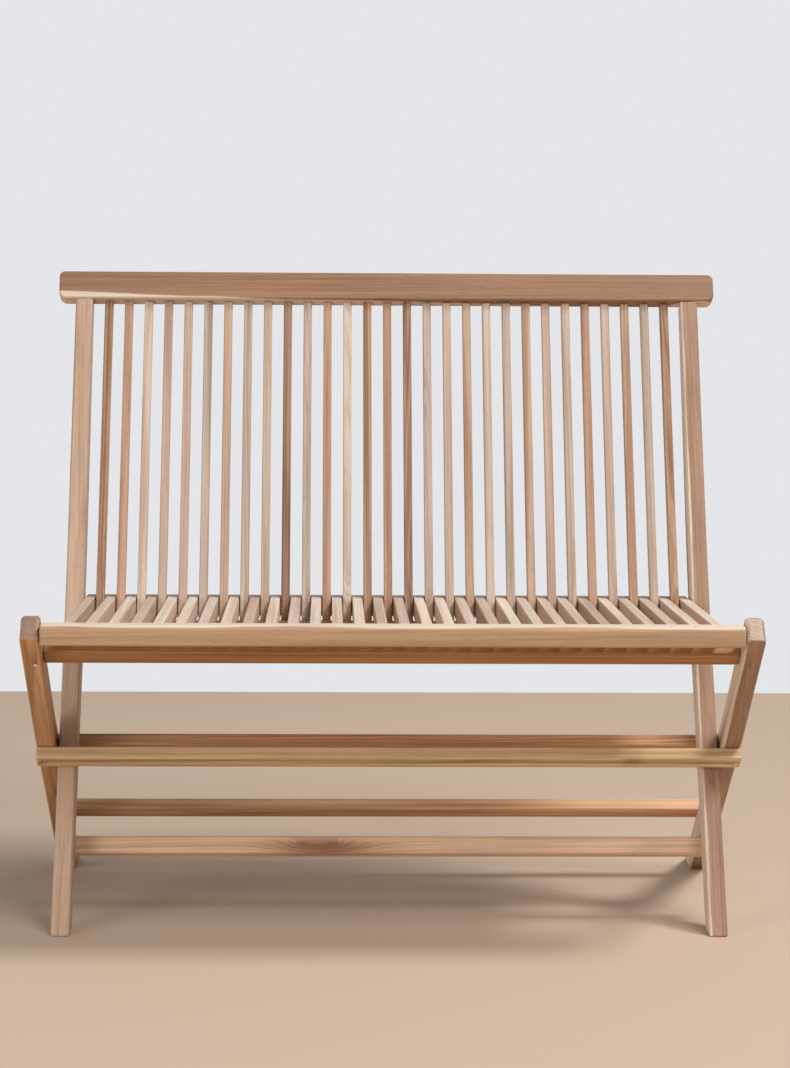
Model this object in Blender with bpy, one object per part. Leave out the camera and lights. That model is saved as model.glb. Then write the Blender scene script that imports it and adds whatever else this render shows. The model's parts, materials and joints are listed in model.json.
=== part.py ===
"""Folding slatted garden bench of teak: a back frame, a leg frame and a captive seat.

Metres, +Z up, X across the bench, +Y to its rear. The origin is on the floor, in the middle of
the bench's box. Outlines are drawn in the side plane, as (rearward, up) points that start at
the front foot, and the finished bench is then moved to its origin by its parent empty.

The two frames cross like scissors on the pivot bolts. The seat hangs on pins at the leg tops,
and its slats run through the gaps of the back to a rail behind it.
"""
import math

import bmesh
import bpy
from mathutils import Matrix, Vector

# --- Driving dimensions -----------------------------------------------------------------------

# Back frame: its stiles lean back, from the front feet to the top rail.
FRAME_WIDTH = 0.914             # over the two stiles
STILE_THICKNESS = 0.025         # across the bench
STILE_DEPTH = 0.040             # front to rear, up to the bend
STILE_LOW_LEAN = 29.6           # degrees from the vertical, below the bend
STILE_HIGH_LEAN = 24.2          # degrees from the vertical, above the bend
STILE_BEND_HEIGHT = 0.458
STILE_TOP_HEIGHT = 0.850        # where the stile meets the top rail
TOP_RAIL_HEIGHT = 0.043
TOP_RAIL_DEPTH = 0.026
TOP_RAIL_OVERHANG = 0.025       # past each stile
TOP_RAIL_UPPER_RADIUS = 0.008
TOP_RAIL_LOWER_RADIUS = 0.011
LOWER_RAIL_HEIGHT = 0.038
LOWER_RAIL_DEPTH = 0.022
LOWER_RAIL_INSET = 0.005        # behind the stiles' front faces
BACK_SLAT_WIDTH = 0.012
BACK_SLAT_DEPTH = 0.013
BACK_SLAT_INSET = 0.009         # behind the stiles' front faces
FRONT_STRETCHER_WIDTH = 0.025
FRONT_STRETCHER_RISE = 0.131    # along the stile, foot to stretcher

# Leg frame: its legs stand outside the stiles, from the rear feet to the seat front.
LEG_THICKNESS = 0.025
LEG_DEPTH = 0.040
LEG_LOW_LEAN = 53.8
LEG_HIGH_LEAN = 50.0
LEG_BEND_HEIGHT = 0.250
LEG_FOOT_SPREAD = 0.435         # front foot to rear foot
LEG_TOP_HEIGHT = 0.418          # of the leg's lower front corner
LEG_TOP_RADIUS = 0.009
LEG_RAIL_DEPTH = 0.016
LEG_RAIL_INSET = 0.0165         # behind the leg's front face
LEG_RAIL_CLEARANCE = 0.0233     # along the leg, rail to seat underside
BAR_WIDTH = 0.028               # the three bars applied to the legs
BAR_THICKNESS = 0.018
REAR_BAR_GAP = 0.012            # from the stiles' rear faces
REAR_STRETCHER_RISE = 0.093     # along the leg, foot to stretcher

# Seat
SEAT_SLOPE = 1.25               # degrees, down to the rear
SEAT_THICKNESS = 0.028
SEAT_RAIL_DEPTH = 0.030
SEAT_RAIL_NOSE = 0.008          # radius of its upper front edge
SEAT_RAIL_SIDE_GAP = 0.0015     # to each leg
SEAT_SLAT_WIDTH = 0.014
SEAT_SLAT_MIN_GAP = 0.0015      # to the back slats beside it
SEAT_REAR_RAIL_DEPTH = 0.024
SEAT_REAR_CLEARANCE = 0.0115    # rear rail to back slats, for the fold
SEAT_REST_CLEARANCE = 0.0005    # seat slats to lower back rail

# Hardware
PIVOT_GAP = 0.003               # between stile and leg
BOLT_RADIUS = 0.004
BOLT_HEAD_LIP = 0.005           # past the bolt's shank, as are the next two
WASHER_LIP = 0.004
INSERT_WALL = 0.002
BOLT_HEAD_HEIGHT = 0.0035
INSERT_COVER = 0.006            # wood left between insert and inner face
BOLT_TIP_GAP = 0.001            # from the bottom of the stile's hole
PIN_RADIUS = 0.003
PIN_GRIP = 0.014                # length of pin inside each board
PIN_FROM_LEG_TOP = 0.011
PIN_FROM_LEG_FACE = 0.0136
PIN_TO_SEAT_FRONT = 0.018
PIN_TO_SEAT_TOP = 0.0151
PLUG_RADIUS = 0.00325
PLUG_DEPTH = 0.010
BAR_PLUG_INSET = 0.0125         # from the end of the stop bar
LEG_PLUG_INSET = 0.008          # from the leg's inner face
LEG_PLUG_DROP = 0.065           # along the leg, from its top

# Fits and finish
TOUCH_GAP = 0.0003              # between pieces that touch
RUNNING_GAP = 0.0003            # around a pin, bolt or plug
BEND_RADIUS = 1.2
BOARD_EASE = 0.002              # easing of a board's edges
SLAT_EASE = 0.001
BEND_STEPS = 6
CORNER_STEPS = 5
ROUND_STEPS = 20

# Teak tones, as linear colours
TONES = {
    "pale": (0.62, 0.46, 0.33),
    "tan": (0.48, 0.32, 0.20),
    "rosy": (0.47, 0.29, 0.20),
    "grey": (0.43, 0.33, 0.25),
    "honey": (0.42, 0.25, 0.12),
    "brown": (0.28, 0.16, 0.08),
}
BACK_SLAT_TONES = ("brown", "rosy", "pale", "tan", "grey", "pale", "rosy", "tan", "grey", "brown")
STEEL = (0.55, 0.55, 0.57)
BRASS = (0.55, 0.40, 0.18)
BLACK = (0.02, 0.02, 0.02)


# --- Side-plane geometry ----------------------------------------------------------------------

class BentEdge:
    """The front edge of a bent board in the side plane: straight, a gentle arc, straight.

    A station is a length along the edge from the foot, and an offset is a distance behind it.
    Leans are from the vertical, positive to the rear.
    """

    def __init__(self, foot, low_lean, high_lean, bend_height):
        self.foot = Vector((foot, 0.0))
        self.low = math.radians(low_lean)
        self.high = math.radians(high_lean)
        tangent = BEND_RADIUS * math.tan(abs(self.high - self.low) / 2)
        self.bend_start = bend_height / math.cos(self.low) - tangent
        self.bend_end = self.bend_start + BEND_RADIUS * abs(self.high - self.low)

    def lean(self, station):
        share = (station - self.bend_start) / (self.bend_end - self.bend_start)
        return self.low + (self.high - self.low) * min(max(share, 0.0), 1.0)

    def along(self, station):
        lean = self.lean(station)
        return Vector((math.sin(lean), math.cos(lean)))

    def behind(self, station):
        lean = self.lean(station)
        return Vector((math.cos(lean), -math.sin(lean)))

    def at(self, station, offset=0.0):
        """The side-plane point at a station and an offset."""
        before = min(station, self.bend_start)
        after = max(station - self.bend_end, 0.0)
        side = math.copysign(BEND_RADIUS, self.high - self.low)
        arc = (self.behind(self.bend_start) - self.behind(station)) * side
        point = self.foot + self.along(self.bend_start) * before + arc
        return point + self.along(station) * after + self.behind(station) * offset

    def locate(self, point):
        """The station and the offset of a side-plane point."""
        station = solve(lambda s: (point - self.at(s)).dot(self.along(s)), -1.0, 3.0)
        return station, (point - self.at(station)).dot(self.behind(station))

    def station_at_height(self, height, offset=0.0):
        return solve(lambda s: self.at(s, offset).y - height, -1.0, 3.0)

    def run(self, start, end, offset):
        """Side-plane points from one station to another, with the arc in steps."""
        span = self.bend_end - self.bend_start
        bends = [self.bend_start + span * step / BEND_STEPS for step in range(BEND_STEPS + 1)]
        inner = [station for station in bends if start < station < end]
        return [self.at(station, offset) for station in (start, *inner, end)]

    def block(self, low, high, front, rear):
        """The four corners of a straight bar laid along the edge, from low to high."""
        middle = (low + high) / 2
        centre = self.at(middle)
        along, behind = self.along(middle), self.behind(middle)
        half = (high - low) / 2
        signs = ((-half, front), (half, front), (half, rear), (-half, rear))
        return [centre + along * rise + behind * offset for rise, offset in signs]


def solve(function, low, high):
    """The root of a function that changes sign once between low and high."""
    rising = function(high) > 0
    for _ in range(60):
        middle = (low + high) / 2
        if (function(middle) > 0) == rising:
            high = middle
        else:
            low = middle
    return (low + high) / 2


def crossing(edge, offset, other, other_offset):
    """The station on one edge where its offset line crosses the other edge's."""
    return solve(lambda s: other.locate(edge.at(s, offset))[1] - other_offset, -0.05, 0.8)


def rounded(corners, radii):
    """A polygon with each corner turned into an arc of its own radius."""
    points = []
    for index, corner in enumerate(corners):
        radius = radii[index]
        if radius == 0:
            points.append(corner)
            continue
        to_last = (corners[index - 1] - corner).normalized()
        to_next = (corners[(index + 1) % len(corners)] - corner).normalized()
        half = to_last.angle(to_next) / 2
        centre = corner + (to_last + to_next).normalized() * (radius / math.sin(half))
        first = corner + to_last * (radius / math.tan(half)) - centre
        last = corner + to_next * (radius / math.tan(half)) - centre
        turn = math.atan2(first.cross(last), first.dot(last))
        for step in range(CORNER_STEPS + 1):
            swing = Matrix.Rotation(turn * step / CORNER_STEPS, 2)
            points.append(centre + swing @ first)
    return points


# --- The design, worked out from the dimensions --------------------------------------------------

stile = BentEdge(0.0, STILE_LOW_LEAN, STILE_HIGH_LEAN, STILE_BEND_HEIGHT)
leg = BentEdge(LEG_FOOT_SPREAD, -LEG_LOW_LEAN, -LEG_HIGH_LEAN, LEG_BEND_HEIGHT)

stile_outer = FRAME_WIDTH / 2
stile_inner = stile_outer - STILE_THICKNESS
leg_inner = stile_outer + PIVOT_GAP
leg_outer = leg_inner + LEG_THICKNESS
stile_top = stile.station_at_height(STILE_TOP_HEIGHT)
leg_top = leg.station_at_height(LEG_TOP_HEIGHT)

insert_radius = BOLT_RADIUS + RUNNING_GAP + INSERT_WALL
pivot = stile.at(crossing(stile, STILE_DEPTH / 2, leg, LEG_DEPTH / 2), STILE_DEPTH / 2)
seat_pin = leg.at(leg_top - PIN_FROM_LEG_TOP, PIN_FROM_LEG_FACE)

seat_rearward = Vector((math.cos(math.radians(SEAT_SLOPE)), -math.sin(math.radians(SEAT_SLOPE))))
seat_upward = Vector((-seat_rearward.y, seat_rearward.x))
seat_corner = seat_pin - seat_rearward * PIN_TO_SEAT_FRONT + seat_upward * PIN_TO_SEAT_TOP

SEAT_SLATS = int((2 * stile_inner + BACK_SLAT_WIDTH)
                 / (SEAT_SLAT_WIDTH + BACK_SLAT_WIDTH + 2 * SEAT_SLAT_MIN_GAP))
BACK_SLATS = SEAT_SLATS - 1
slat_pitch = (2 * stile_inner + BACK_SLAT_WIDTH) / SEAT_SLATS
slat_gap = (slat_pitch - BACK_SLAT_WIDTH - SEAT_SLAT_WIDTH) / 2


def seat_point(rearward, downward):
    """A side-plane point from the seat's upper front corner."""
    return seat_corner + seat_rearward * rearward - seat_upward * downward


def seat_underside_height(point):
    """How far a side-plane point is below the seat slats' underside."""
    return (seat_corner - point).dot(seat_upward) - SEAT_THICKNESS


leg_rail_top = solve(
    lambda s: -seat_underside_height(leg.at(s, LEG_RAIL_INSET)), 0.0, 1.5) - LEG_RAIL_CLEARANCE
lower_rail_top = solve(
    lambda s: SEAT_REST_CLEARANCE - seat_underside_height(stile.at(s, LOWER_RAIL_INSET)), 0.0, 1.5)
slat_rear = BACK_SLAT_INSET + BACK_SLAT_DEPTH
seat_rear_front = solve(
    lambda u: stile.locate(seat_point(u, 0.0))[1] - slat_rear - SEAT_REAR_CLEARANCE, 0.0, 1.5)


# --- Building pieces --------------------------------------------------------------------------

for old in list(bpy.data.objects):
    bpy.data.objects.remove(old)

materials = {}


def material(name, colour, roughness, metallic=0.0):
    if name not in materials:
        made = bpy.data.materials.new(name)
        made.use_nodes = True
        shader = made.node_tree.nodes["Principled BSDF"]
        shader.inputs["Base Color"].default_value = (*colour, 1.0)
        shader.inputs["Roughness"].default_value = roughness
        shader.inputs["Metallic"].default_value = metallic
        made.diffuse_color = (*colour, 1.0)
        materials[name] = made
    return materials[name]


def teak(tone):
    return material(f"teak_{tone}", TONES[tone], 0.6)


def steel():
    return material("steel", STEEL, 0.35, 1.0)


def empty(name, point, parent=None):
    """An empty on the bench's middle plane, at a side-plane point."""
    made = bpy.data.objects.new(name, None)
    bpy.context.collection.objects.link(made)
    made.location = (0.0, point.x, point.y)
    made.parent = parent
    return made


bench = empty("bench", Vector((0.0, 0.0)))
back_frame = empty("back_frame", Vector((0.0, 0.0)), bench)
leg_frame = empty("leg_frame", pivot, bench)
seat = empty("seat", seat_pin, bench)
pieces = []


def place(name, mesh, group, finish):
    """Add a mesh made in bench coordinates to one of the frames."""
    mesh.transform(Matrix.Translation(-group.location))
    made = bpy.data.objects.new(name, mesh)
    bpy.context.collection.objects.link(made)
    made.parent = group
    mesh.materials.append(finish)
    pieces.append(made)
    return made


def extruded(name, outline, sweep, group, finish, ease):
    """A closed outline of 3-D points swept along a vector, with eased edges."""
    shape = bmesh.new()
    face = shape.faces.new([shape.verts.new(point) for point in outline])
    swept = bmesh.ops.extrude_face_region(shape, geom=[face])
    moved = [item for item in swept["geom"] if isinstance(item, bmesh.types.BMVert)]
    bmesh.ops.translate(shape, verts=moved, vec=sweep)
    bmesh.ops.recalc_face_normals(shape, faces=shape.faces)
    mesh = bpy.data.meshes.new(name)
    shape.to_mesh(mesh)
    shape.free()
    made = place(name, mesh, group, finish)
    if ease:
        bevel = made.modifiers.new("ease", "BEVEL")
        bevel.width = ease
        bevel.segments = 1
        bevel.limit_method = "ANGLE"
        bevel.angle_limit = math.radians(30)
        bevel.harden_normals = False
    return made


def board(name, outline, left, right, group, finish, ease=BOARD_EASE):
    """A side-plane outline swept across the bench, from left to right."""
    loop = [Vector((left, point.x, point.y)) for point in outline]
    return extruded(name, loop, Vector((right - left, 0.0, 0.0)), group, finish, ease)


def turned(name, profile, centre, axis, group, finish, closed=False):
    """A profile of (along, radius) points turned round an axis; closed for a ring."""
    shape = bmesh.new()
    turn = Vector((1.0, 0.0, 0.0)).rotation_difference(axis)
    rings = []
    for along, radius in profile:
        ring = []
        for step in range(ROUND_STEPS):
            angle = 2 * math.pi * step / ROUND_STEPS
            spoke = Vector((along, radius * math.cos(angle), radius * math.sin(angle)))
            ring.append(shape.verts.new(centre + turn @ spoke))
        rings.append(ring)
    pairs = list(zip(rings, rings[1:]))
    if closed:
        pairs.append((rings[-1], rings[0]))
    else:
        shape.faces.new(rings[0])
        shape.faces.new(rings[-1])
    for ring, following in pairs:
        for step in range(ROUND_STEPS):
            after = (step + 1) % ROUND_STEPS
            shape.faces.new((ring[step], ring[after], following[after], following[step]))
    bmesh.ops.recalc_face_normals(shape, faces=shape.faces)
    mesh = bpy.data.meshes.new(name)
    shape.to_mesh(mesh)
    shape.free()
    made = place(name, mesh, group, finish)
    made.data.shade_smooth()
    made.data.set_sharp_from_angle(angle=math.radians(40))
    return made


def ring(near, far, bore, rim):
    """The profile of a ring, for a closed turning."""
    return (near, bore), (far, bore), (far, rim), (near, rim)


def hole(piece, name, start, end, centre, axis, radius, group):
    """Cut a round hole, from start to end along an axis."""
    profile = ((start, radius), (end, radius))
    cutter = turned(f"{name}_cutter", profile, centre, axis, group, steel())
    pieces.remove(cutter)
    cutter.hide_render = True
    cutter.display_type = "WIRE"
    cut = piece.modifiers.new(name, "BOOLEAN")
    cut.operation = "DIFFERENCE"
    cut.object = cutter


def across(side, point):
    """A side-plane point as a 3-D point at a place across the bench."""
    return Vector((side, point.x, point.y))


# --- Back frame -------------------------------------------------------------------------------

def make_stile(name, side, tone):
    front = stile.run(0.0, stile_top, 0.0)
    foot = stile.station_at_height(0.0, STILE_DEPTH)
    rear = stile.run(foot, stile.bend_end, STILE_DEPTH)
    rear.append(stile.at(stile_top, TOP_RAIL_DEPTH))
    outline = front + rear[::-1]
    made = board(name, outline, side * stile_inner, side * stile_outer, back_frame, teak(tone))
    hole(made, f"{name}_pivot", stile_inner + INSERT_COVER, leg_inner, across(0.0, pivot),
         Vector((side, 0.0, 0.0)), insert_radius + TOUCH_GAP, back_frame)


def make_top_rail():
    low = stile_top + TOUCH_GAP
    middle = low + TOP_RAIL_HEIGHT / 2
    half_width = stile_outer + TOP_RAIL_OVERHANG
    half_height = TOP_RAIL_HEIGHT / 2
    corners = [Vector((side, rise)) for side, rise in (
        (-half_width, -half_height), (half_width, -half_height),
        (half_width, half_height), (-half_width, half_height))]
    radii = (TOP_RAIL_LOWER_RADIUS, TOP_RAIL_LOWER_RADIUS,
             TOP_RAIL_UPPER_RADIUS, TOP_RAIL_UPPER_RADIUS)
    centre = stile.at(middle)
    along, behind = stile.along(middle), stile.behind(middle)
    loop = [across(point.x, centre + along * point.y) for point in rounded(corners, radii)]
    sweep = across(0.0, behind * TOP_RAIL_DEPTH)
    extruded("top_rail", loop, sweep, back_frame, teak("tan"), BOARD_EASE)


def make_back_rails():
    corners = stile.block(lower_rail_top - LOWER_RAIL_HEIGHT, lower_rail_top,
                          LOWER_RAIL_INSET, LOWER_RAIL_INSET + LOWER_RAIL_DEPTH)
    reach = stile_inner - TOUCH_GAP
    board("lower_back_rail", corners, -reach, reach, back_frame, teak("tan"))
    low = FRONT_STRETCHER_RISE
    front = STILE_DEPTH + TOUCH_GAP
    corners = stile.block(low, low + FRONT_STRETCHER_WIDTH, front, front + BAR_THICKNESS)
    board("front_stretcher", corners, -stile_outer, stile_outer, back_frame, teak("tan"))


def make_back_slats():
    low = lower_rail_top + TOUCH_GAP
    high = stile_top
    outline = stile.run(low, high, BACK_SLAT_INSET) + stile.run(low, high, slat_rear)[::-1]
    for number in range(BACK_SLATS):
        middle = (number - (BACK_SLATS - 1) / 2) * slat_pitch
        tone = BACK_SLAT_TONES[number % len(BACK_SLAT_TONES)]
        board(f"back_slat_{number + 1:02d}", outline, middle - BACK_SLAT_WIDTH / 2,
              middle + BACK_SLAT_WIDTH / 2, back_frame, teak(tone), SLAT_EASE)


# --- Leg frame --------------------------------------------------------------------------------

def make_leg(name, side, tone):
    front = leg.run(0.0, leg_top, 0.0)
    foot = leg.station_at_height(0.0, LEG_DEPTH)
    rear = leg.run(foot, leg_top, LEG_DEPTH)
    outline = front + rear[::-1]
    radii = [0.0] * len(outline)
    radii[len(front) - 1] = LEG_TOP_RADIUS / 3
    radii[len(front)] = LEG_TOP_RADIUS
    outline = rounded(outline, radii)
    made = board(name, outline, side * leg_inner, side * leg_outer, leg_frame, teak(tone))
    sideways = Vector((1.0, 0.0, 0.0))
    hole(made, f"{name}_pivot", -2 * FRAME_WIDTH, 2 * FRAME_WIDTH, across(0.0, pivot), sideways,
         BOLT_RADIUS + RUNNING_GAP, leg_frame)
    hole(made, f"{name}_pin", -PIN_GRIP, PIN_GRIP + TOUCH_GAP, across(side * leg_inner, seat_pin),
         sideways * side, PIN_RADIUS + RUNNING_GAP, leg_frame)
    return made


def make_leg_bars():
    """The stop bar in the front of the X, one behind it, a stretcher and the rail on top."""
    low = crossing(leg, 0.0, stile, 0.0) + TOUCH_GAP
    corners = leg.block(low, low + BAR_WIDTH, -TOUCH_GAP - BAR_THICKNESS, -TOUCH_GAP)
    stop_bar = board("stop_bar", corners, -leg_outer, leg_outer, leg_frame, teak("pale"))

    rear = LEG_DEPTH + TOUCH_GAP
    high = crossing(leg, rear, stile, STILE_DEPTH) - REAR_BAR_GAP
    corners = leg.block(high - BAR_WIDTH, high, rear, rear + BAR_THICKNESS)
    board("rear_stop_bar", corners, -leg_outer, leg_outer, leg_frame, teak("brown"))

    low = REAR_STRETCHER_RISE
    corners = leg.block(low, low + BAR_WIDTH, rear, rear + BAR_THICKNESS)
    board("rear_stretcher", corners, -leg_outer, leg_outer, leg_frame, teak("rosy"))

    high = leg_rail_top
    corners = leg.block(high - BAR_WIDTH, high, LEG_RAIL_INSET, LEG_RAIL_INSET + LEG_RAIL_DEPTH)
    reach = leg_inner - TOUCH_GAP
    board("leg_top_rail", corners, -reach, reach, leg_frame, teak("honey"))
    return stop_bar


# --- Seat -------------------------------------------------------------------------------------

def make_seat_front_rail():
    corners = [seat_point(SEAT_RAIL_DEPTH, 0.0), seat_point(SEAT_RAIL_DEPTH, SEAT_THICKNESS),
               seat_point(0.0, SEAT_THICKNESS), seat_point(0.0, 0.0)]
    outline = rounded(corners, (0.0, 0.0, 0.0, SEAT_RAIL_NOSE))
    reach = leg_inner - SEAT_RAIL_SIDE_GAP
    made = board("seat_front_rail", outline, -reach, reach, seat, teak("pale"))
    for label, side in (("left", -1), ("right", 1)):
        hole(made, f"seat_rail_pin_{label}", -PIN_GRIP - TOUCH_GAP, PIN_GRIP,
             across(side * reach, seat_pin), Vector((side, 0.0, 0.0)),
             PIN_RADIUS + RUNNING_GAP, seat)


def make_seat_grille():
    """All seat slats and the rear rail that joins them, as one comb."""
    start = SEAT_RAIL_DEPTH + TOUCH_GAP
    end = seat_rear_front + SEAT_REAR_RAIL_DEPTH
    half = SEAT_SLAT_WIDTH / 2
    reach = stile_inner - slat_gap
    plan = [(reach, end), (-reach, end)]
    for number in range(SEAT_SLATS):
        middle = (number - (SEAT_SLATS - 1) / 2) * slat_pitch
        root = seat_rear_front
        plan += [(middle - half, root), (middle - half, start),
                 (middle + half, start), (middle + half, root)]
    del plan[2]
    del plan[-1]
    loop = [across(side, seat_point(rearward, 0.0)) for side, rearward in plan]
    sweep = across(0.0, seat_upward * -SEAT_THICKNESS)
    extruded("seat_grille", loop, sweep, seat, teak("pale"), SLAT_EASE)


# --- Hardware ---------------------------------------------------------------------------------

def make_pivot(label, side):
    """A domed bolt from outside the leg, a washer between the boards and a threaded insert."""
    centre = across(side * leg_inner, pivot)
    outward = Vector((side, 0.0, 0.0))
    bottom = stile_inner + INSERT_COVER - leg_inner
    tip = bottom + BOLT_TIP_GAP
    seat_of_head = LEG_THICKNESS + TOUCH_GAP
    head_radius = BOLT_RADIUS + BOLT_HEAD_LIP
    profile = [(tip, BOLT_RADIUS), (seat_of_head, BOLT_RADIUS), (seat_of_head, head_radius)]
    for step in range(1, CORNER_STEPS):
        angle = math.pi / 2 * step / CORNER_STEPS
        profile.append((seat_of_head + BOLT_HEAD_HEIGHT * math.sin(angle),
                        head_radius * math.cos(angle)))
    turned(f"pivot_bolt_{label}", profile, centre, outward, back_frame, steel())

    bore = BOLT_RADIUS + RUNNING_GAP
    turned(f"pivot_washer_{label}", ring(TOUCH_GAP - PIVOT_GAP, -TOUCH_GAP, bore,
                                         BOLT_RADIUS + WASHER_LIP),
           centre, outward, back_frame, material("black_nylon", BLACK, 0.5), closed=True)
    turned(f"pivot_insert_{label}", ring(bottom + TOUCH_GAP, -PIVOT_GAP, bore, insert_radius),
           centre, outward, back_frame, material("brass", BRASS, 0.4, 1.0), closed=True)


def make_seat_pin(label, side):
    centre = across(side * leg_inner, seat_pin)
    inner = -SEAT_RAIL_SIDE_GAP - PIN_GRIP
    turned(f"seat_pin_{label}", ((inner, PIN_RADIUS), (PIN_GRIP, PIN_RADIUS)), centre,
           Vector((side, 0.0, 0.0)), leg_frame, steel())


def make_plug(name, piece, station, offset, side, tone):
    """A wooden plug flush in the face of a piece of the leg frame."""
    centre = across(side, leg.at(station, offset))
    inward = across(0.0, leg.behind(station))
    turned(name, ((0.0, PLUG_RADIUS), (PLUG_DEPTH, PLUG_RADIUS)), centre, inward, leg_frame,
           teak(tone))
    hole(piece, f"{name}_hole", -PLUG_DEPTH, PLUG_DEPTH + TOUCH_GAP, centre, inward,
         PLUG_RADIUS + RUNNING_GAP, leg_frame)


def centre_on_floor():
    """Move the bench so that its box stands on the floor, centred on the origin."""
    bpy.context.view_layer.update()
    graph = bpy.context.evaluated_depsgraph_get()
    corners = []
    for piece in pieces:
        shown = piece.evaluated_get(graph)
        corners += [shown.matrix_world @ Vector(corner) for corner in shown.bound_box]
    depths = [corner.y for corner in corners]
    bench.location.y = -(min(depths) + max(depths)) / 2
    bench.location.z = -min(corner.z for corner in corners)
    bpy.context.view_layer.update()


make_stile("stile_left", -1, "rosy")
make_stile("stile_right", 1, "tan")
make_top_rail()
make_back_rails()
make_back_slats()
stop_bar = make_leg_bars()
make_seat_front_rail()
make_seat_grille()
stop_middle = crossing(leg, 0.0, stile, 0.0) + TOUCH_GAP + BAR_WIDTH / 2
for label, side, tone in (("left", -1, "honey"), ("right", 1, "grey")):
    limb = make_leg(f"leg_{label}", side, tone)
    make_pivot(label, side)
    make_seat_pin(label, side)
    make_plug(f"stop_bar_plug_{label}", stop_bar, stop_middle, -TOUCH_GAP - BAR_THICKNESS,
              side * (leg_outer - BAR_PLUG_INSET), "brown")
    make_plug(f"leg_plug_{label}", limb, leg_top - LEG_PLUG_DROP, 0.0,
              side * (leg_inner + LEG_PLUG_INSET), "pale")
centre_on_floor()
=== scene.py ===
"""Looks of the folding slatted teak bench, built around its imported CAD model.

Every board is a copy of its CAD board with rounder edges. The seat's slats and rear rail, one
solid in the CAD model, are boards of their own here, and bolts, washers and plugs are turned
anew. One node group makes the teak: growth rings, fibres, pores, sapwood, knots and end grain,
on three axes from the board's middle, the third along its grain. Metres, +Z up, +Y to the rear.
"""

import json
import math
import random

import bmesh
import bpy
from mathutils import Matrix, Vector
from mathutils.kdtree import KDTree


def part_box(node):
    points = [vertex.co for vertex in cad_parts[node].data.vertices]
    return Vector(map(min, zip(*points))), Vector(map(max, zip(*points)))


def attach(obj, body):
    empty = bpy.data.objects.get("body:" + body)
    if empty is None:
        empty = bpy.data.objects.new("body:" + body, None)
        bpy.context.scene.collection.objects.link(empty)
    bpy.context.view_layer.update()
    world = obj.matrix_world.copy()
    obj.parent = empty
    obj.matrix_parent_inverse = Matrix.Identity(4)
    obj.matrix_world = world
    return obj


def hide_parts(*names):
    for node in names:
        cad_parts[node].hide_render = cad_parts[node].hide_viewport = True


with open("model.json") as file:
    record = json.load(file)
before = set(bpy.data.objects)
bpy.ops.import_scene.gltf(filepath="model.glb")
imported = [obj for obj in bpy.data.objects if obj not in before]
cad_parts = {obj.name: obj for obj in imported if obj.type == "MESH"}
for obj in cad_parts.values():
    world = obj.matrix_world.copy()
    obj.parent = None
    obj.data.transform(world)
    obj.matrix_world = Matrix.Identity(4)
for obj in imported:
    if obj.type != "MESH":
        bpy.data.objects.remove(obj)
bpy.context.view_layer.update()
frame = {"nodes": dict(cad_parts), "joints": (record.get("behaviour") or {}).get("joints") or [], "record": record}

SEED = 7

# --- Sizes ------------------------------------------------------------------------------------

BOARD_ROUNDING = 0.0009          # widens the CAD boards' 2 mm easing into a round
SLAT_ROUNDING = 0.0004
SEAT_SLAT_ROUNDING = 0.0011
ROUNDING_STEPS = 3
SHARP_ANGLE = math.radians(30)   # edges sharper than this are rounded
FLAT_ANGLE = math.radians(0.2)   # facets that turn less than this are joined up
CREASE_ANGLE = math.radians(38)  # turned pieces keep edges sharper than this
WELD_DISTANCE = 0.00001
HOLE_MARGIN = 0.0008             # edges this near to hardware are rims of holes and stay sharp
END_ZONE = 0.02                  # height of a board's two end zones, which give its direction

OUTER_END_RADIUS = 0.0075        # of the legs' upper ends, towards their outer sides
INNER_END_RADIUS = 0.0045
END_STATIONS = 6

REAR_RAIL_DEPTH = 0.024
SLAT_END_GAP = 0.0002

ROUND_STEPS = 48
DOME_STEPS = 6
BOLT_RADIUS = 0.004
HEAD_GAP = 0.1                   # under a bolt's head, as a share of the way from leg to crown
HEAD_TAPER = 0.96                # the head's radius at its underside, as a share of the full one
HEAD_RIM = 0.0005                # height of the head's rim, and of the start of its dome
DOME_START = 0.0006
WASHER_EASE = 0.0004
PLUG_EASE = 0.0004
PLUG_CROWN = 0.0002

# --- Camera, floor and lights -----------------------------------------------------------------

CAMERA_PLACE = (-0.0865, -3.9550, 0.9118)
CAMERA_YAW = -1.366              # degrees, positive to the left
CAMERA_TILT = 5.559              # degrees below level
CAMERA_ROLL = 0.354
SENSOR_WIDTH = 36.0              # millimetres
FOCAL_LENGTH = 95.8

FLOOR_HALF_WIDTH = 7.0
FLOOR_FRONT = -8.0
FLOOR_REAR = 1.97
FLOOR_COLOUR = (204, 180, 158)
FLOOR_ROUGHNESS = 0.75

ROOM_COLOUR = (229, 230, 233)
ROOM_LIGHT = 0.26                # share of the room's brightness that reaches the bench
LIGHT_TARGET = (0.0, 0.0, 0.4)
SOFTBOXES = {                    # place, size, power and colour
    "skylight": ((2.8, -4.4, 6.4), 3.2, 220.0, (1.0, 0.99, 0.97)),
    "ceiling": ((3.6, -0.4, 6.0), 1.6, 275.0, (1.0, 0.99, 0.97)),
    "window": ((-3.2, -3.6, 1.3), 2.0, 75.0, (1.0, 0.98, 0.95)),
}

# --- Colours, as sRGB -------------------------------------------------------------------------

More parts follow.
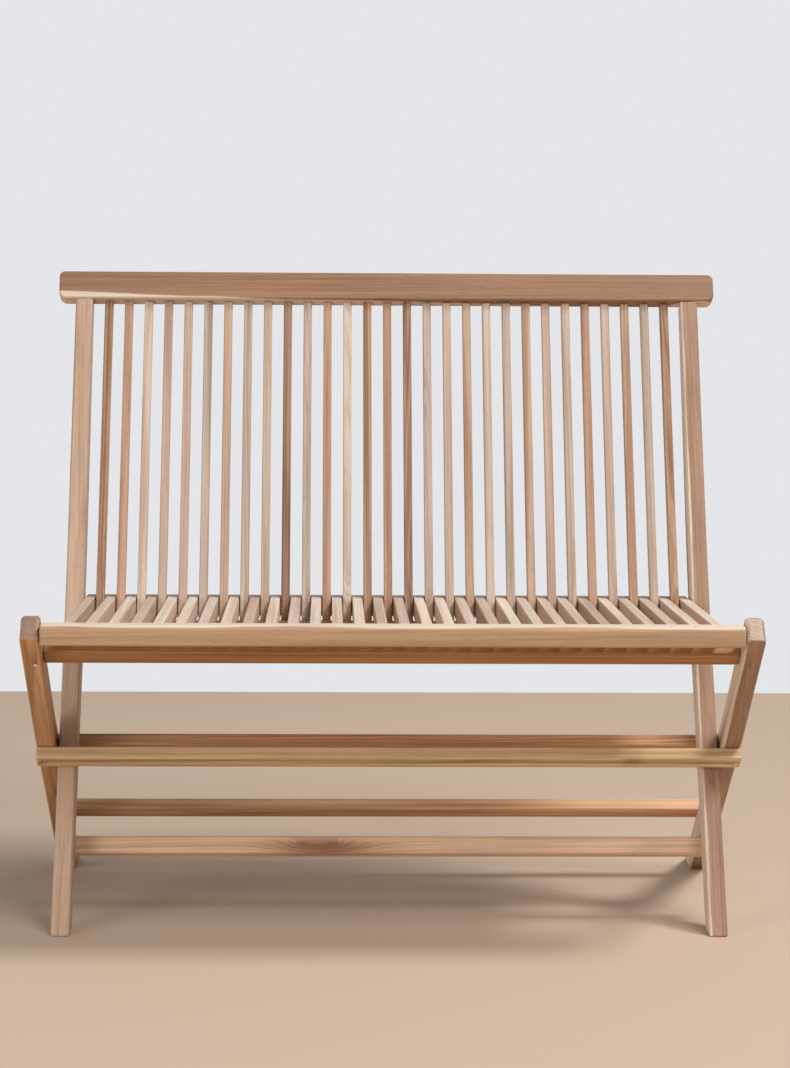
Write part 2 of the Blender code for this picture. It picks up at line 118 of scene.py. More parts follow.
TONES = {  # of teak: its early wood, then its late wood
    "pale": ((214, 193, 176), (186, 158, 136)),
    "beige": ((206, 182, 163), (172, 143, 119)),
    "pink": ((204, 176, 158), (172, 140, 120)),
    "grey": ((196, 175, 159), (158, 134, 114)),
    "tan": ((200, 169, 145), (164, 126, 97)),
    "rosy": ((194, 156, 131), (158, 117, 91)),
    "brown": ((184, 148, 118), (136, 97, 68)),
    "umber": ((172, 134, 108), (120, 82, 58)),
    # partly the stop bar's own tone, partly painted light: brightened for light that the lamps don't bring under
    # the seat
    "straw_with_painted_light": ((222, 189, 146), (174, 140, 94)),
    "wheat": ((192, 156, 122), (156, 118, 85)),
    "cocoa": ((158, 120, 91), (118, 82, 56)),
    # the pale early wood is partly the stretcher's own tone, partly painted light on the low front stretcher
    "figured_with_painted_light": ((232, 196, 162), (138, 96, 64)),
    # partly the rear stretcher's own tone, partly painted light: brightened for light that reaches it under the
    # seat
    "peach_with_painted_light": ((236, 190, 150), (188, 138, 98)),
    # partly the rear stop bar's own tone, partly painted light: brightened for light that reaches it under the
    # seat
    "rust_with_painted_light": ((214, 166, 126), (168, 118, 80)),
    "cream": ((230, 211, 194), (200, 172, 148)),
    "bleached": ((246, 228, 206), (222, 196, 170)),
    "clay": ((172, 137, 112), (134, 97, 72)),
    # partly teak's own orange tone, partly painted warm bounce light on shaded faces
    "orange_with_painted_bounce": ((202, 158, 112), (158, 110, 68)),
    # painted shade: a darker copy of the orange tone, for the shadow under the seat's front rail, and more orange
    # for painted warm bounce light
    "deep_orange_painted_shade": ((182, 132, 84), (138, 90, 48)),
}
SAPWOOD = (228, 208, 188)
BACK_TONES = (  # of the slats, from left to right
    "brown rosy pale pink pink grey tan grey beige umber grey rosy pale brown rosy "
    "umber grey beige tan pale grey tan pink beige rosy beige tan grey brown").split()
SEAT_TONES = (
    "beige pale cream beige cream cream pale cream pink cream pale cream pale cream beige "
    "pink cream cream pale beige cream pale cream pale beige cream pale beige cream cream").split()


STEEL = ((196, 196, 199), (150, 143, 134))  # each bright, then dull
BRASS = ((205, 180, 120), (150, 120, 70))
NYLON = ((30, 30, 31), (44, 43, 42))


def linear(colour):
    """An sRGB colour of 0 to 255 as a linear RGBA colour."""
    scaled = [channel / 255 for channel in colour]
    return tuple([((c + 0.055) / 1.055) ** 2.4 if c > 0.04 else c / 12.92 for c in scaled] + [1.0])


# --- Materials --------------------------------------------------------------------------------

class Graph:
    """Short calls that add nodes to a tree and return their outputs."""

    def __init__(self, tree):
        self.tree = tree

    def put(self, kind, values, **settings):
        node = self.tree.nodes.new(kind)
        for name, setting in settings.items():
            setattr(node, name, setting)
        for key, value in values.items():
            if isinstance(value, bpy.types.NodeSocket):
                self.tree.links.new(value, node.inputs[key])
            else:
                node.inputs[key].default_value = value
        return node.outputs

    def math(self, operation, first, second=0.0):
        return self.put("ShaderNodeMath", {0: first, 1: second}, operation=operation)[0]

    def vector(self, operation, first, second):
        values = {0: first, 1: second}
        return self.put("ShaderNodeVectorMath", values, operation=operation)[0]

    def dot(self, first, second):
        values = {0: first, 1: second}
        return self.put("ShaderNodeVectorMath", values, operation="DOT_PRODUCT")["Value"]

    def scaled(self, vector, factor):
        values = {0: vector, "Scale": factor}
        return self.put("ShaderNodeVectorMath", values, operation="SCALE")[0]

    def noise(self, place, stretch, detail=2.0):
        """Noise of 0 to 1, with this many features per metre along each axis."""
        values = {"Vector": self.vector("MULTIPLY", place, stretch), "Scale": 1.0, "Detail": detail}
        return self.put("ShaderNodeTexNoise", values)[0]

    def step(self, value, start, end, low=0.0, high=1.0):
        """A smooth step from low to high as the value goes from start to end."""
        values = {"Value": value, "From Min": start, "From Max": end, "To Min": low, "To Max": high}
        return self.put("ShaderNodeMapRange", values, interpolation_type="SMOOTHSTEP")[0]

    def mix(self, share, first, second):
        values = {0: share, 6: first, 7: second}
        return self.put("ShaderNodeMix", values, data_type="RGBA")[2]

    def around(self, value, amount):
        """A noise of 0 to 1 as a factor around 1."""
        return self.put("ShaderNodeMath", {0: value, 1: amount, 2: 1 - amount / 2},
                        operation="MULTIPLY_ADD")[0]


# Features per metre of the teak's noises: across the board, through it and along its grain.
WIDE_WANDER = (9.0, 9.0, 1.3)
FINE_WANDER = (31.0, 17.0, 2.1)
PALE_BANDS = (60.0, 60.0, 3.0)
FIBRES = (1100.0, 1100.0, 22.0)
THREADS = (330.0, 330.0, 7.0)
STREAKS = (105.0, 105.0, 2.2)
CLOUDS = (16.0, 16.0, 3.4)
PORES = (1500.0, 1500.0, 60.0)
SAP_WAVES = (26.0, 26.0, 4.6)
SPECKLES = (900.0, 900.0, 900.0)

RING_STRAY = (0.014, 0.006)      # metres that the rings stray across the board and through it
RING_SPREAD = 110.0              # changes of the rings' width, per metre of radius
RING_SPREAD_AMOUNT = 1.6
LATE_WOOD = (0.35, 0.88, 0.93)   # where in a ring the late wood begins, is full and ends
SAP_STRAY = 0.011                # metres that the sapwood's edge strays
SAP_BLUR = 0.0012
PORE_DARKNESS = 0.30
END_FACING = (0.70, 0.97)        # how squarely a face meets the grain, from side to end grain

SEED_SHIFT = (13.1, 7.7, 3.3)    # metres between the cuts of two whole seeds
PITH_DISTANCE = (0.03, 0.11)     # ranges for the boards that don't state their own
RING_LEAN = (-0.02, 0.02)
RING_WIDTH = (0.0022, 0.0042)
SEEDS = (1.0, 20.0)
TEAK_ROUGHNESS = (0.50, 0.62)    # from dark threads to light ones
TEAK_SPECULAR = 0.42
TEAK_BUMP = (0.45, 0.0004)       # strength, depth
FINISH_BUMP = (0.15, 0.0002)

FINISH_CLOUDS = (160.0, 160.0, 160.0)
TURNING_MARKS = (900.0, 900.0, 5200.0)
MOULDED_GRAIN = (2400.0, 2400.0, 2400.0)

GRAIN_INPUTS = {
    "Early": ("NodeSocketColor", linear((205, 178, 155))),
    "Late": ("NodeSocketColor", linear((165, 130, 100))),
    "Axis X": ("NodeSocketVector", (1.0, 0.0, 0.0)),
    "Axis Y": ("NodeSocketVector", (0.0, 1.0, 0.0)),
    "Axis Z": ("NodeSocketVector", (0.0, 0.0, 1.0)),
    "Sap": ("NodeSocketColor", linear(SAPWOOD)),
    "Pith": ("NodeSocketVector", (0.06, 0.04, 0.0)),
    "Lean": ("NodeSocketFloat", 0.0),
    "Ring": ("NodeSocketFloat", 0.003),
    "Figure": ("NodeSocketFloat", 0.6),
    "Streaks": ("NodeSocketFloat", 0.7),
    "Sap Side": ("NodeSocketVector", (1.0, 0.0, 0.0)),
    "Sap Edge": ("NodeSocketFloat", 1.0),
    "Knot": ("NodeSocketVector", (0.0, 0.0, 9.0)),
    "Knot Size": ("NodeSocketVector", (0.01, 0.01, 0.02)),
    "Knot Rings": ("NodeSocketFloat", 0.0),
    "Knot Sap": ("NodeSocketFloat", 0.0),
    "Knot Dark": ("NodeSocketFloat", 0.0),
    "End": ("NodeSocketFloat", 0.74),
    "End Color": ("NodeSocketColor", linear((172, 142, 120))),
    "Seed": ("NodeSocketFloat", 0.0),
}


def make_teak_group():
    """Solid teak whose grain runs along its third axis: colour, roughness and surface height."""
    tree = bpy.data.node_groups.new("teak", "ShaderNodeTree")
    for name, (kind, value) in GRAIN_INPUTS.items():
        tree.interface.new_socket(name, in_out="INPUT", socket_type=kind).default_value = value
    for name, kind in (("Color", "NodeSocketColor"), ("Roughness", "NodeSocketFloat"),
                       ("Height", "NodeSocketFloat")):
        tree.interface.new_socket(name, in_out="OUTPUT", socket_type=kind)
    graph = Graph(tree)
    given = tree.nodes.new("NodeGroupInput").outputs
    surface = graph.put("ShaderNodeTexCoord", {})
    place = graph.put("ShaderNodeCombineXYZ", {
        letter: graph.dot(surface["Object"], given[f"Axis {letter}"]) for letter in "XYZ"})[0]
    shift = graph.scaled(SEED_SHIFT, given["Seed"])
    seeded = graph.vector("ADD", place, shift)

    # The knot, a soft lump in the wood that the rings flow round.
    offset = graph.vector("DIVIDE", graph.vector("SUBTRACT", place, given["Knot"]),
                          given["Knot Size"])
    lump = graph.math("EXPONENT", graph.math("MULTIPLY", graph.dot(offset, offset), -1.0))

    # Growth rings, as wavering tubes around the pith.
    wander_x = graph.math("SUBTRACT", graph.noise(seeded, WIDE_WANDER), 0.5)
    wander_y = graph.math("SUBTRACT", graph.noise(seeded, FINE_WANDER), 0.5)
    from_pith = graph.vector("SUBTRACT", place, given["Pith"])
    parts = graph.put("ShaderNodeSeparateXYZ", {0: from_pith})
    lean = graph.math("MULTIPLY", parts["Z"], given["Lean"])
    across = graph.math("ADD", graph.math("ADD", parts["X"], lean),
                        graph.math("MULTIPLY", wander_x, RING_STRAY[0]))
    deep = graph.math("ADD", parts["Y"], graph.math("MULTIPLY", wander_y, RING_STRAY[1]))
    radius = graph.math("SQRT", graph.math("ADD", graph.math("MULTIPLY", across, across),
                                           graph.math("MULTIPLY", deep, deep)))
    radius = graph.math("ADD", radius, graph.math("MULTIPLY", lump, given["Knot Rings"]))
    spread = graph.put("ShaderNodeTexNoise", {"W": graph.math("MULTIPLY", radius, RING_SPREAD)},
                       noise_dimensions="1D")[0]
    phase = graph.math("ADD", graph.math("DIVIDE", radius, given["Ring"]),
                       graph.math("MULTIPLY", spread, RING_SPREAD_AMOUNT))
    tooth = graph.math("FRACT", phase)
    begins, full, ends = LATE_WOOD
    late = graph.math("MULTIPLY", graph.step(tooth, begins, full),
                      graph.step(tooth, ends, 1.0, 1.0, 0.0))
    pale_band = graph.step(graph.noise(seeded, PALE_BANDS), 0.3, 0.7, 0.35, 1.0)
    late = graph.math("MULTIPLY", late, pale_band)

    # Fibres, streaks and pores, all drawn out along the grain.
    fibre = graph.noise(seeded, FIBRES)
    thread = graph.noise(seeded, THREADS, 3.0)
    streak = graph.noise(seeded, STREAKS, 3.0)
    cloud = graph.noise(seeded, CLOUDS)
    pore = graph.step(graph.noise(seeded, PORES, 1.0), 0.60, 0.72)
    pore = graph.math("MULTIPLY", pore, graph.step(tooth, 0.0, 0.6, 1.0, 0.35))

    streaky = graph.math("MULTIPLY", graph.step(streak, 0.38, 0.72), given["Streaks"])
    dark = graph.math("ADD", graph.math("MULTIPLY", late, given["Figure"]), streaky)
    dark = graph.math("ADD", dark, graph.math("MULTIPLY", lump, given["Knot Dark"]))
    colour = graph.mix(dark, given["Early"], given["Late"])

    # Sapwood, beyond a wavering line on one side of the board.
    sap_wave = graph.math("SUBTRACT", graph.noise(seeded, SAP_WAVES), 0.5)
    sap_place = graph.math("ADD", graph.dot(place, given["Sap Side"]),
                           graph.math("MULTIPLY", sap_wave, SAP_STRAY))
    sap_place = graph.math("ADD", sap_place, graph.math("MULTIPLY", lump, given["Knot Sap"]))
    sap_depth = graph.math("SUBTRACT", sap_place, given["Sap Edge"])
    sap_wood = graph.mix(graph.math("MULTIPLY", dark, 0.45), given["Sap"], given["Early"])
    colour = graph.mix(graph.step(sap_depth, -SAP_BLUR, SAP_BLUR), colour, sap_wood)

    pitted = graph.math("SUBTRACT", 1.0, graph.math("MULTIPLY", pore, PORE_DARKNESS))
    shade = graph.math("MULTIPLY", graph.around(fibre, 0.22), graph.around(thread, 0.34))
    shade = graph.math("MULTIPLY", shade, graph.around(cloud, 0.30))
    shade = graph.math("MULTIPLY", shade, pitted)

    # End grain, where the surface faces along the board.
    facing = graph.dot(surface["Normal"], given["Axis Z"])
    end = graph.step(graph.math("ABSOLUTE", facing), *END_FACING)
    speckle = graph.noise(seeded, SPECKLES, 1.0)
    rings = graph.math("SUBTRACT", 1.0, graph.math("MULTIPLY", late, 0.35))
    end_shade = graph.math("MULTIPLY", graph.around(speckle, 0.5), given["End"])
    end_shade = graph.math("MULTIPLY", graph.math("MULTIPLY", end_shade, rings),
                           graph.around(cloud, 0.5))
    colour = graph.mix(end, graph.scaled(colour, shade),
                       graph.scaled(given["End Color"], end_shade))

    rough = graph.step(thread, 0.2, 0.8, *TEAK_ROUGHNESS)
    rough = graph.math("ADD", rough, graph.math("MULTIPLY", pore, 0.15))
    height = graph.math("SUBTRACT", graph.math("MULTIPLY", fibre, 0.5), pore)
    height = graph.math("SUBTRACT", height, graph.math("MULTIPLY", late, 0.25))
    graph.put("NodeGroupOutput", {"Color": colour, "Roughness": rough, "Height": height})
    return tree


def wire_shader(made, graph, colour, roughness, height, bump):
    """Wire a colour, a roughness and a relief into a material's shader, and return the shader."""
    strength, depth = bump
    relief = graph.put("ShaderNodeBump", {"Height": height, "Strength": strength,
                                          "Distance": depth})[0]
    shader = made.node_tree.nodes["Principled BSDF"]
    made.node_tree.links.new(colour, shader.inputs["Base Color"])
    made.node_tree.links.new(roughness, shader.inputs["Roughness"])
    made.node_tree.links.new(relief, shader.inputs["Normal"])
    return shader


teak_group = make_teak_group()
draws = random.Random(SEED)


def teak(name, tone, **grain):
    """A teak material of one tone, with its own cut through the tree."""
    early, late = TONES[tone]
    made = bpy.data.materials.new(name)
    made.use_nodes = True
    graph = Graph(made.node_tree)
    angle = draws.uniform(0, 2 * math.pi)
    distance = draws.uniform(*PITH_DISTANCE)
    values = {
        "Early": linear(early),
        "Late": linear(late),
        "End Color": linear(early),
        "Pith": (distance * math.cos(angle), distance * math.sin(angle), 0.0),
        "Lean": draws.uniform(*RING_LEAN),
        "Ring": draws.uniform(*RING_WIDTH),
        "Seed": draws.uniform(*SEEDS),
    }
    values.update({key.replace("_", " "): value for key, value in grain.items()})
    wood = made.node_tree.nodes.new("ShaderNodeGroup")
    wood.name = "wood"
    wood.node_tree = teak_group
    for key, value in values.items():
        wood.inputs[key].default_value = value
    shader = wire_shader(made, graph, wood.outputs["Color"], wood.outputs["Roughness"],
                         wood.outputs["Height"], TEAK_BUMP)
    shader.inputs["Specular IOR Level"].default_value = TEAK_SPECULAR
    made.diffuse_color = linear(early)
    return made


def worn_finish(name, colours, roughness, metallic, marks):
    """Metal or plastic, a little dulled in clouds, with faint marks from its making."""
    bright, dull = colours
    made = bpy.data.materials.new(name)
    made.use_nodes = True
    graph = Graph(made.node_tree)
    place = graph.put("ShaderNodeTexCoord", {})["Object"]
    cloud = graph.noise(place, FINISH_CLOUDS, 3.0)
    relief = graph.noise(place, marks, 1.0)
    colour = graph.mix(graph.step(cloud, 0.42, 0.75), linear(bright), linear(dull))
    rough = graph.step(cloud, 0.3, 0.8, roughness, roughness + 0.2)
    shader = wire_shader(made, graph, colour, rough, relief, FINISH_BUMP)
    shader.inputs["Metallic"].default_value = metallic
    return made


steel = worn_finish("satin_steel", STEEL, roughness=0.26, metallic=1.0, marks=TURNING_MARKS)
brass = worn_finish("brass", BRASS, roughness=0.30, metallic=1.0, marks=TURNING_MARKS)
nylon = worn_finish("black_nylon", NYLON, roughness=0.45, metallic=0.0, marks=MOULDED_GRAIN)

# --- Pieces -----------------------------------------------------------------------------------

bodies = {node: body for body, members in frame["record"]["behaviour"]["bodies"].items()
          for node in members}
CROSSWISE = Matrix(((0, 0, 1), (0, 1, 0), (-1, 0, 0)))  # axes of a board across the bench


def points_of(node):
    return [vertex.co for vertex in frame["nodes"][node].data.vertices]


def find_hardware():
    """A tree of the hardware's points, which tells the rims of the holes it sits in."""
    hardware = [node for node in frame["nodes"]
                if node.startswith(("pivot_", "seat_pin_")) or "_plug_" in node]
    points = [point for node in hardware for point in points_of(node)]
    tree = KDTree(len(points))
    for number, point in enumerate(points):
        tree.insert(point, number)
    tree.balance()
    return tree


hardware_tree = find_hardware()


def lengthwise(along):
    """Axes for a board that lies in the side plane: X across the bench, Z along the board."""
    rearward = along.cross(Vector((1.0, 0.0, 0.0)))
    return Matrix(((1.0, rearward.x, along.x), (0.0, rearward.y, along.y),
                   (0.0, rearward.z, along.z)))


def rising(node):
    """The axes of a board that rises: from its lower end's middle to its upper end's."""
    points = points_of(node)
    low = min(point.z for point in points)
    high = max(point.z for point in points)
    feet = [point for point in points if point.z < low + END_ZONE]
    tops = [point for point in points if point.z > high - END_ZONE]
    along = sum(tops, Vector()) / len(tops) - sum(feet, Vector()) / len(feet)
    along.x = 0.0
    return lengthwise(along.normalized())


def middle(node):
    low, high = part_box(node)
    return (low + high) / 2


def settle(name, shape, axes, centre, material, nodes):
    """Turn a bmesh in the row frame into a piece about its centre, whose wood has these axes."""
    place = Matrix.Translation(centre)
    shape.transform(place.inverted())
    bmesh.ops.recalc_face_normals(shape, faces=shape.faces)
    mesh = bpy.data.meshes.new(name)
    shape.to_mesh(mesh)
    shape.free()
    mesh.materials.append(material)
    mesh.shade_smooth()
    if "wood" in material.node_tree.nodes:
        for letter, axis in zip("XYZ", axes.col):
            material.node_tree.nodes["wood"].inputs[f"Axis {letter}"].default_value = axis
    piece = bpy.data.objects.new(name, mesh)
    bpy.context.collection.objects.link(piece)
    piece.matrix_world = place
    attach(piece, bodies[nodes[0]])
    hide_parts(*nodes)
    return piece


def round_edges(piece, width):
    bevel = piece.modifiers.new("rounding", "BEVEL")
    bevel.limit_method = "WEIGHT"
    bevel.width = width
    bevel.segments = ROUNDING_STEPS
    bevel.harden_normals = True


def weigh_edges(shape):
    """Mark the sharp edges to round, all but the rims of holes that hold hardware."""
    weight = shape.edges.layers.float.new("bevel_weight_edge")
    for edge in shape.edges:
        if len(edge.link_faces) != 2 or edge.calc_face_angle() < SHARP_ANGLE:
            continue
        rim = all(hardware_tree.find(vertex.co)[2] < HOLE_MARGIN for vertex in edge.verts)
        edge[weight] = 0.0 if rim else 1.0


def round_upper_end(shape, along):
    """Take the corners off a leg's upper end in arcs, the larger ones on its outer side."""
    shape.normal_update()
    end = max((face for face in shape.faces if face.normal.dot(along) > 0.9),
              key=lambda face: face.calc_area())
    sides = [vertex.co.x for vertex in shape.verts]
    centre = (min(sides) + max(sides)) / 2
    half = (max(sides) - min(sides)) / 2
    peak = max(vertex.co.z for vertex in shape.verts)
    planes = ((end.calc_center_median(), end.normal.copy()),
              (Vector((0.0, 0.0, peak)), Vector((0.0, 0.0, 1.0))))
    for point, normal in planes:
        for station in range(1, END_STATIONS + 1):
            depth = OUTER_END_RADIUS * (1 - math.cos(math.pi / 2 * station / END_STATIONS))
            bmesh.ops.bisect_plane(shape, geom=shape.verts[:] + shape.edges[:] + shape.faces[:],
                                   plane_co=point - normal * depth, plane_no=normal)
    for vertex in shape.verts:
        depth = min((point - vertex.co).dot(normal) for point, normal in planes)
        offset = vertex.co.x - centre
        radius = OUTER_END_RADIUS if offset * centre > 0 else INNER_END_RADIUS
        if depth < radius:
            room = half - radius + math.sqrt(radius ** 2 - (radius - max(depth, 0.0)) ** 2)
            vertex.co.x = centre + math.copysign(min(abs(offset), room), offset)


def board(node, axes, material, rounding=BOARD_ROUNDING):
    """A CAD board again, with its flats joined up and its edges rounded."""
    source = frame["nodes"][node].data
    plain = bpy.data.meshes.new("plain")
    plain.from_pydata([vertex.co for vertex in source.vertices], [],
                      [tuple(polygon.vertices) for polygon in source.polygons])
    shape = bmesh.new()
    shape.from_mesh(plain)
    bpy.data.meshes.remove(plain)
    bmesh.ops.remove_doubles(shape, verts=shape.verts, dist=WELD_DISTANCE)
    bmesh.ops.dissolve_limit(shape, angle_limit=FLAT_ANGLE, verts=shape.verts, edges=shape.edges)
    if node.startswith("leg_") and node != "leg_top_rail":
        round_upper_end(shape, axes.col[2])
    weigh_edges(shape)
    piece = settle(f"{node}_board", shape, axes, middle(node), material, [node])
    round_edges(piece, rounding)
    return piece


def bar(name, corners, left, right, axes, material, nodes, rounding):
    """A straight bar, from four corners in the side plane, across the bench from left to right."""
    shape = bmesh.new()
    ends = [[shape.verts.new((side, *corner)) for corner in corners] for side in (left, right)]
    shape.faces.new(ends[0])
    shape.faces.new(ends[1][::-1])
    for index in range(4):
        after = (index + 1) % 4
        shape.faces.new((ends[0][index], ends[0][after], ends[1][after], ends[1][index]))
    bmesh.ops.recalc_face_normals(shape, faces=shape.faces)
    weigh_edges(shape)
    points = [vertex.co for vertex in shape.verts]
    centre = sum(points, Vector()) / len(points)
    piece = settle(name, shape, axes, centre, material, nodes)
    round_edges(piece, rounding)
    return piece


def turned(name, profile, centre, axis, material, node):
    """A profile of (along, radius) points turned round an axis. Radius 0 closes an end."""
    shape = bmesh.new()
    turn = Vector((0.0, 0.0, 1.0)).rotation_difference(axis).to_matrix()
    rings = []
    for along, radius in profile:
        count = 1 if radius == 0 else ROUND_STEPS
        ring = []
        for step in range(count):
            angle = 2 * math.pi * step / ROUND_STEPS
            spoke = Vector((radius * math.cos(angle), radius * math.sin(angle), along))
            ring.append(shape.verts.new(centre + turn @ spoke))
        rings.append(ring)
    if len(rings[0]) > 1 and len(rings[-1]) > 1:
        rings.append(rings[0])
    for ring, after in zip(rings, rings[1:]):
        for step in range(ROUND_STEPS):
            then = (step + 1) % ROUND_STEPS
            corners = [ring[step % len(ring)], ring[then % len(ring)],
                       after[then % len(after)], after[step % len(after)]]
            shape.faces.new(list(dict.fromkeys(corners)))
    piece = settle(name, shape, turn, centre, material, [node])
    piece.data.set_sharp_from_angle(angle=CREASE_ANGLE)
    return piece


# --- Back frame -------------------------------------------------------------------------------

def make_back_frame():
    board("stile_left", rising("stile_left"), teak(
        "teak_stile_left", "tan", Ring=0.0050, Figure=0.35, Streaks=0.45, Pith=(0.09, -0.05, 0.0)))
    board("stile_right", rising("stile_right"), teak(
        "teak_stile_right", "clay", Ring=0.0050, Figure=0.40, Streaks=0.55,
        Pith=(0.10, -0.06, 0.0), Sap_Side=(-1.0, -0.10, 0.0), Sap_Edge=0.0090,
        Knot=(0.002, -0.02, -0.26), Knot_Size=(0.006, 0.02, 0.010), Knot_Rings=0.012,
        Knot_Dark=0.9))
    board("top_rail", CROSSWISE, teak(
        "teak_top_rail", "cocoa", Ring=0.0042, Figure=0.45, Streaks=0.55,
        Pith=(-0.05, 0.06, 0.0), Lean=0.03, Sap_Side=(1.0, 0.25, -0.028), Sap_Edge=0.0140,
        Knot=(0.022, 0.0, 0.462), Knot_Size=(0.012, 0.05, 0.035), Knot_Sap=0.03))
    board("lower_back_rail", CROSSWISE, teak("teak_lower_rail", "tan"))
    # the front stretcher's pale tone is partly painted light
    board("front_stretcher", CROSSWISE, teak(
        "teak_front_stretcher", "figured_with_painted_light", Ring=0.0036, Figure=0.30, Streaks=0.20,
        Knot=(0.0, 0.0, -0.095), Knot_Size=(0.011, 0.03, 0.070), Knot_Rings=0.018,
        Knot_Dark=1.0))
    for number, tone in enumerate(BACK_TONES, 1):
        node = f"back_slat_{number:02d}"
        board(node, rising(node), teak(f"teak_{node}", tone, Figure=0.8, Streaks=0.9),
              SLAT_ROUNDING)


# --- Leg frame --------------------------------------------------------------------------------

def make_leg_frame():
    # the left leg's orange tone is partly painted warm bounce light from the floor
    board("leg_left", rising("leg_left"), teak(
        "teak_leg_left", "orange_with_painted_bounce", Ring=0.0055, Figure=0.45, Pith=(0.02, 0.09, 0.0),
        End=1.05, End_Color=linear((152, 122, 106))))
    board("leg_right", rising("leg_right"), teak(
        "teak_leg_right", "clay", Ring=0.0055, Figure=0.40, Pith=(0.03, 0.10, 0.0), End=1.05,
        End_Color=linear((192, 167, 147)),
        Sap_Side=(-1.0, 0.0, 0.0), Sap_Edge=0.0105))
    # painted shade: the leg top rail's dark tone stands for the shadow that the seat's front rail casts on it
    board("leg_top_rail", CROSSWISE, teak("teak_leg_top_rail", "deep_orange_painted_shade", Ring=0.0045))
    # the stop bar's pale tone is partly painted light under the seat
    board("stop_bar", CROSSWISE, teak(
        "teak_stop_bar", "straw_with_painted_light", Ring=0.0040, Figure=0.50, Streaks=0.75,
        Knot=(0.004, -0.01, 0.335), Knot_Size=(0.006, 0.02, 0.012), Knot_Rings=0.010,
        Knot_Dark=0.8))
    # the rear stop bar's bright tone is partly painted light under the seat
    board("rear_stop_bar", CROSSWISE, teak("teak_rear_stop_bar", "rust_with_painted_light", Ring=0.0035))
    # the rear stretcher's bright tone is partly painted light under the seat
    board("rear_stretcher", CROSSWISE, teak("teak_rear_stretcher", "peach_with_painted_light", Ring=0.0035))


# --- Seat -------------------------------------------------------------------------------------

def make_seat():
    board("seat_front_rail", CROSSWISE, teak(
        "teak_seat_front_rail", "wheat", Ring=0.0048, Figure=0.28, Streaks=0.35,
        Pith=(0.03, 0.07, 0.0), Sap_Side=(-1.0, 0.0, 0.0), Sap_Edge=0.0112))
    mount = next(entry for entry in frame["record"]["mounts"] if entry["name"] == "seat_top")
    upward = Vector(mount["axis"]).normalized()
    rearward = Vector((1.0, 0.0, 0.0)).cross(upward) * -1.0
    points = points_of("seat_grille")
    depths = [point.dot(rearward) for point in points]
    heights = [point.dot(upward) for point in points]

    def corners(start, end):
        """The four side-plane corners of a bar, from start to end along the seat."""
        outline = ((start, max(heights)), (start, min(heights)),
                   (end, min(heights)), (end, max(heights)))
        return [(rearward * depth + upward * height).yz for depth, height in outline]

    rail_front = max(depths) - REAR_RAIL_DEPTH
    low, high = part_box("seat_grille")
    bar("seat_rear_rail", corners(rail_front, max(depths)), low.x, high.x, CROSSWISE,
        teak("teak_seat_rear_rail", "tan"), ["seat_grille"], SEAT_SLAT_ROUNDING)
    pitch = middle("back_slat_02").x - middle("back_slat_01").x
    first = middle("back_slat_01").x - pitch / 2
    half = first - low.x  # of a slat's width: the first one ends where the grille does
    for number, tone in enumerate(SEAT_TONES):
        centre = first + number * pitch
        name = f"seat_slat_{number + 1:02d}"
        bar(name, corners(min(depths), rail_front - SLAT_END_GAP), centre - half, centre + half,
            lengthwise(rearward), teak(f"teak_{name}", tone), ["seat_grille"], SEAT_SLAT_ROUNDING)


# --- Hardware ---------------------------------------------------------------------------------

def dome(start, end, radius):
    """Profile points from a rim to its crown."""
    angles = [math.pi / 2 * step / DOME_STEPS for step in range(1, DOME_STEPS)]
    return [(start + (end - start) * math.sin(angle), radius * math.cos(angle))
            for angle in angles]


def reach(node):
    """How far from the bench's middle plane a node of one side starts, and ends."""
    low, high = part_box(node)
    return sorted((abs(low.x), abs(high.x)))


def height_radius(node):
    """The radius of a round node that lies across the bench: half its height."""
    low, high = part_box(node)
    return (high.z - low.z) / 2


def make_pivot(label, side):
    """The carriage bolt of one side, and the washer between its stile and leg."""
    outward = Vector((side, 0.0, 0.0))
    pivot = Vector(frame["joints"][0]["pos_m"])

    near, far = reach(f"pivot_bolt_{label}")
    leg_face = reach(f"leg_{label}")[1]
    shoulder = leg_face + (far - leg_face) * HEAD_GAP
    head = height_radius(f"pivot_bolt_{label}")
    profile = [(near, 0.0), (near, BOLT_RADIUS), (shoulder, BOLT_RADIUS),
               (shoulder, head * HEAD_TAPER), (shoulder + HEAD_RIM, head),
               *dome(shoulder + DOME_START, far, head), (far, 0.0)]
    turned(f"carriage_bolt_{label}", profile, pivot, outward, steel, f"pivot_bolt_{label}")

    near, far = reach(f"pivot_washer_{label}")
    rim = height_radius(f"pivot_washer_{label}")
    ease = WASHER_EASE
    bore = BOLT_RADIUS + ease
    profile = [(near, bore), (far, bore), (far, rim - ease), (far - ease, rim),
               (near + ease, rim), (near, rim - ease)]
    turned(f"washer_{label}", profile, pivot, outward, nylon, f"pivot_washer_{label}")


def make_plug(node, tone):
    """A round wooden plug, slightly crowned, whose grain runs through the board."""
    points = points_of(node)
    centre = sum(points, Vector()) / len(points)
    inward = rising("leg_left").col[1]
    depths = [(point - centre).dot(inward) for point in points]
    radius = max((point - centre - inward * (point - centre).dot(inward)).length
                 for point in points)
    face, back = min(depths), max(depths)
    profile = [(back, 0.0), (back, radius), (face + PLUG_EASE, radius),
               (face, radius - PLUG_EASE), (face - PLUG_CROWN, 0.0)]
    wood = teak(f"teak_{node}", tone, Ring=0.0016, End=1.0)
    turned(f"{node}_cap", profile, centre, inward, wood, node)


def make_hardware():
    for label, side in (("left", -1), ("right", 1)):
        make_pivot(label, side)
        make_plug(f"stop_bar_plug_{label}", "brown")
    make_plug("leg_plug_left", "bleached")
    make_plug("leg_plug_right", "umber")
    for label in ("left", "right"):
        frame["nodes"][f"seat_pin_{label}"].material_slots[0].material = steel
        frame["nodes"][f"pivot_insert_{label}"].material_slots[0].material = brass


# --- Surroundings -----------------------------------------------------------------------------

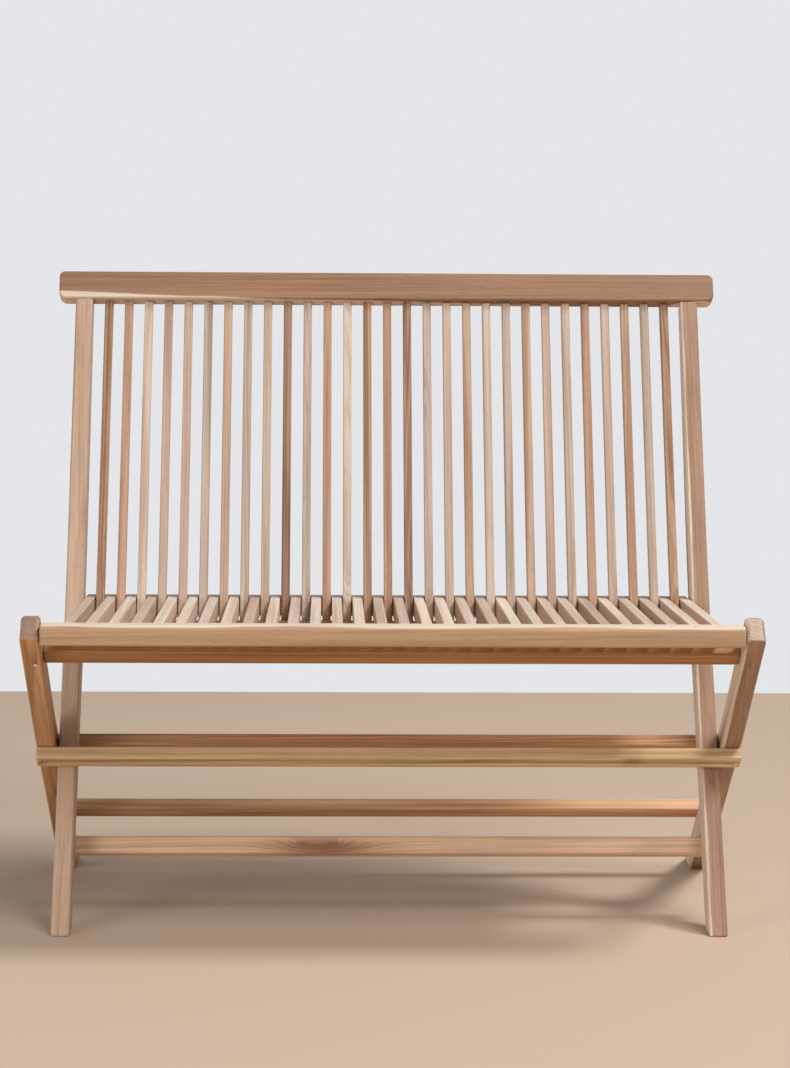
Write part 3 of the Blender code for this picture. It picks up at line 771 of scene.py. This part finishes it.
def make_floor():
    """A plain pale floor that ends where a wall would stand."""
    shape = bmesh.new()
    for x, y in ((-FLOOR_HALF_WIDTH, FLOOR_FRONT), (FLOOR_HALF_WIDTH, FLOOR_FRONT),
                 (FLOOR_HALF_WIDTH, FLOOR_REAR), (-FLOOR_HALF_WIDTH, FLOOR_REAR)):
        shape.verts.new((x, y, 0.0))
    shape.faces.new(shape.verts)
    mesh = bpy.data.meshes.new("floor")
    shape.to_mesh(mesh)
    shape.free()
    plaster = bpy.data.materials.new("pale_floor")
    plaster.use_nodes = True
    shader = plaster.node_tree.nodes["Principled BSDF"]
    shader.inputs["Base Color"].default_value = linear(FLOOR_COLOUR)
    shader.inputs["Roughness"].default_value = FLOOR_ROUGHNESS
    mesh.materials.append(plaster)
    floor = bpy.data.objects.new("floor", mesh)
    bpy.context.collection.objects.link(floor)


def softbox(name, place, size, power, colour):
    """A square light at a place, aimed at the bench."""
    light = bpy.data.lights.new(name, "AREA")
    light.shape = "SQUARE"
    light.size = size
    light.energy = power
    light.color = colour
    lamp = bpy.data.objects.new(name, light)
    bpy.context.collection.objects.link(lamp)
    lamp.location = place
    aim = Vector(LIGHT_TARGET) - Vector(place)
    lamp.rotation_euler = aim.to_track_quat("-Z", "Y").to_euler()


def make_light():
    """A skylight and a ceiling light, high on the right, a low window on the left, a pale room."""
    world = bpy.data.worlds.new("pale_room")
    world.use_nodes = True
    graph = Graph(world.node_tree)
    diffuse = graph.put("ShaderNodeLightPath", {})["Is Diffuse Ray"]
    values = {"Color": linear(ROOM_COLOUR),
              "Strength": graph.step(diffuse, 0.0, 1.0, 1.0, ROOM_LIGHT)}
    world.node_tree.links.new(graph.put("ShaderNodeBackground", values)[0],
                              world.node_tree.nodes["World Output"].inputs["Surface"])
    bpy.context.scene.world = world
    for name, settings in SOFTBOXES.items():
        softbox(name, *settings)


def make_camera():
    lens = bpy.data.cameras.new("camera")
    lens.sensor_width = SENSOR_WIDTH
    lens.lens = FOCAL_LENGTH
    camera = bpy.data.objects.new("camera", lens)
    bpy.context.collection.objects.link(camera)
    camera.location = CAMERA_PLACE
    yaw = Matrix.Rotation(math.radians(CAMERA_YAW), 3, "Z")
    pitch = Matrix.Rotation(math.radians(90.0 - CAMERA_TILT), 3, "X")
    roll = Matrix.Rotation(math.radians(CAMERA_ROLL), 3, "Z")
    camera.rotation_euler = (yaw @ pitch @ roll).to_euler()
    bpy.context.scene.camera = camera
    bpy.context.scene.view_settings.view_transform = "Standard"


make_camera()
make_back_frame()
make_leg_frame()
make_seat()
make_hardware()
make_floor()
make_light()
